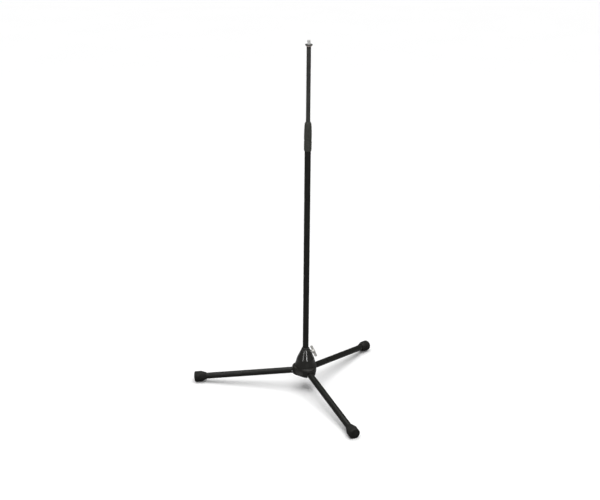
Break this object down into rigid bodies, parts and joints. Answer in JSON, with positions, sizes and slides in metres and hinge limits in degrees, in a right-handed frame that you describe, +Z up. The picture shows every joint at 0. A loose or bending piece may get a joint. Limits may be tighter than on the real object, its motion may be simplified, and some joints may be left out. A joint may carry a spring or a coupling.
{
  "type": "microphone stand",
  "caption": "Straight microphone floor stand: folding tripod base with a wing clamp, telescopic mast with a twist clutch, and a threaded stud with a ring nut on top.",
  "frame": {"origin": "on the floor, on the mast's centre line", "axes": "+Z up the mast; +X along the clamp screw, half way between legs 2 and 3"},
  "size_m": [0.5613, 0.6452, 1.1221],
  "materials": {
    "casting_black": "gloss black lacquer on die-cast zinc",
    "tube_black": "satin black powder coat on steel tube",
    "grip_plastic": "matte dark grey moulded plastic with a fine grain",
    "bush_plastic": "plain black moulded plastic",
    "foot_rubber": "matte black rubber",
    "nickel": "dull nickel plate",
    "zinc_steel": "bright zinc-plated steel",
    "pin_steel": "plain drawn steel",
    "knuckle_metal": "die-cast metal, as cast",
    "pad_brass": "turned brass",
    "natural_nylon": "natural nylon",
    "red_fibre": "vulcanised fibre"
  },
  "bodies": {
    "base": {"base_casting": "casting_black", "neck_bush": "bush_plastic", "hinge_pin_1": "pin_steel", "hinge_pin_2": "pin_steel", "hinge_pin_3": "pin_steel"},
    "leg_1": {"leg_knuckle_1": "knuckle_metal", "leg_tube_1": "tube_black", "knuckle_rivet_1": "pin_steel", "foot_cap_1": "foot_rubber"},
    "leg_2": {"leg_knuckle_2": "knuckle_metal", "leg_tube_2": "tube_black", "knuckle_rivet_2": "pin_steel", "foot_cap_2": "foot_rubber"},
    "leg_3": {"leg_knuckle_3": "knuckle_metal", "leg_tube_3": "tube_black", "knuckle_rivet_3": "pin_steel", "foot_cap_3": "foot_rubber"},
    "mast": {"lock_plug": "knuckle_metal", "plug_rivet": "pin_steel", "lower_tube": "tube_black", "clutch_body": "grip_plastic"},
    "clamp_pad": {"pressure_pad": "pad_brass"},
    "wing_screw": {"clamp_screw": "zinc_steel", "wing_head": "nickel"},
    "collet": {"collet": "natural_nylon"},
    "slip_ring": {"clutch_ring": "grip_plastic"},
    "sleeve": {"grip_sleeve": "grip_plastic"},
    "upper_mast": {"upper_tube": "tube_black", "guide_bush": "natural_nylon", "threaded_stud": "zinc_steel"},
    "washer": {"lock_washer": "red_fibre"},
    "nut": {"ring_nut": "nickel"}
  },
  "joints": [
    {"name": "leg_1_fold", "type": "hinge", "parent": "base", "child": "leg_1", "pos_m": [-0.026, 0, 0.0623], "axis": [0, -1, 0], "range_deg": [0, 82.09]},
    {"name": "leg_2_fold", "type": "hinge", "parent": "base", "child": "leg_2", "pos_m": [0.013, -0.02252, 0.0623], "axis": [0.866, 0.5, 0], "range_deg": [0, 82.09]},
    {"name": "leg_3_fold", "type": "hinge", "parent": "base", "child": "leg_3", "pos_m": [0.013, 0.02252, 0.0623], "axis": [-0.866, 0.5, 0], "range_deg": [0, 82.09]},
    {"name": "tube_lift", "type": "slide", "parent": "base", "child": "mast", "axis": [0, 0, 1], "range_m": [0, 0.03]},
    {"name": "pad_slide", "type": "slide", "parent": "base", "child": "clamp_pad", "axis": [0.9094, 0, 0.4159], "range_m": [0, 0.0025]},
    {"name": "screw_turn", "type": "hinge", "parent": "clamp_pad", "child": "wing_screw", "pos_m": [0, 0, 0.11925], "axis": [0.9094, 0, 0.4159], "range_deg": [0, 720]},
    {"name": "upper_swivel", "type": "hinge", "parent": "mast", "child": "collet", "pos_m": [0, 0, 0.8512], "axis": [0, 0, 1], "continuous": true},
    {"name": "height_slide", "type": "slide", "parent": "collet", "child": "upper_mast", "axis": [0, 0, 1], "range_m": [-0.22, 0.48]},
    {"name": "sleeve_rise", "type": "slide", "parent": "mast", "child": "slip_ring", "axis": [0, 0, 1], "range_m": [0, 0.0015]},
    {"name": "sleeve_turn", "type": "hinge", "parent": "slip_ring", "child": "sleeve", "pos_m": [0, 0, 0.826], "axis": [0, 0, 1], "range_deg": [0, 180]},
    {"name": "washer_rise", "type": "slide", "parent": "upper_mast", "child": "washer", "axis": [0, 0, 1], "range_m": [0, 0.00476]},
    {"name": "nut_turn", "type": "hinge", "parent": "washer", "child": "nut", "pos_m": [0, 0, 1.10565], "axis": [0, 0, 1], "range_deg": [0, 1080]}
  ],
  "couplings": [
    {"joint": "leg_2_fold", "follows": "leg_1_fold", "ratio": 1},
    {"joint": "leg_3_fold", "follows": "leg_1_fold", "ratio": 1},
    {"joint": "tube_lift", "follows": "leg_1_fold", "m_per_rad": 0.02094},
    {"joint": "screw_turn", "follows": "pad_slide", "rad_per_m": 5026.5},
    {"joint": "sleeve_turn", "follows": "sleeve_rise", "rad_per_m": 2094.4},
    {"joint": "nut_turn", "follows": "washer_rise", "rad_per_m": 3957.9}
  ]
}
